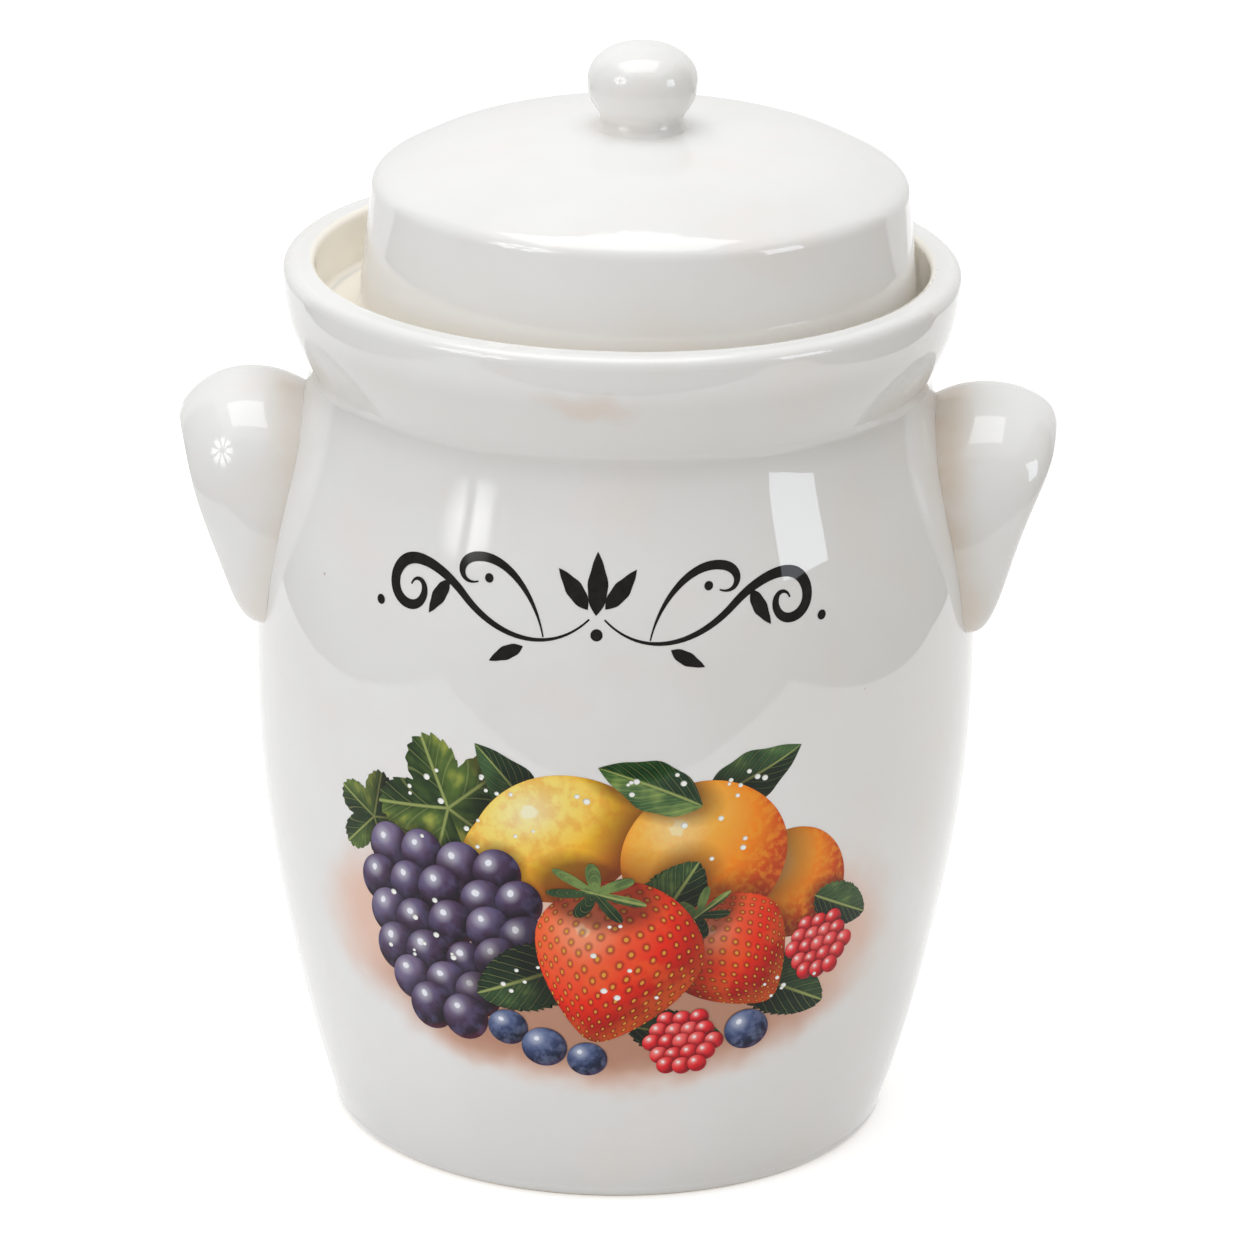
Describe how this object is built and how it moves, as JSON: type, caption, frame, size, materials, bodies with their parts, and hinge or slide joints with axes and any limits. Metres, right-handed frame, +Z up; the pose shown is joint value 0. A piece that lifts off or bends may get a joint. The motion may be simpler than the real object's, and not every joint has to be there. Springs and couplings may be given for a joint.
{
  "type": "fruit preserving crock",
  "caption": "Bellied glazed stoneware fruit crock with a galleried rim, two arched lug handles and a loose domed lid with a turned knob, for preserving fruit.",
  "frame": {"origin": "centre of the crock's foot ring, on the surface that it stands on", "axes": "+Z up along the crock's axis, +X through the right-hand handle, the decorated front faces -Y"},
  "size_m": [0.2377, 0.1964, 0.3021],
  "materials": {
    "crock_glaze": "glossy off-white glaze on stoneware",
    "handle_glaze": "glossy off-white glaze on stoneware",
    "lid_glaze": "glossy off-white glaze on stoneware"
  },
  "bodies": {
    "crock": {"crock_body": "crock_glaze", "handle_left": "handle_glaze", "handle_right": "handle_glaze"},
    "lid": {"lid": "lid_glaze", "lid_knob": "lid_glaze"}
  },
  "joints": [
    {"name": "lid_lift", "type": "slide", "parent": "crock", "child": "lid", "axis": [0, 0, 1], "range_m": [0, 0.12]}
  ]
}
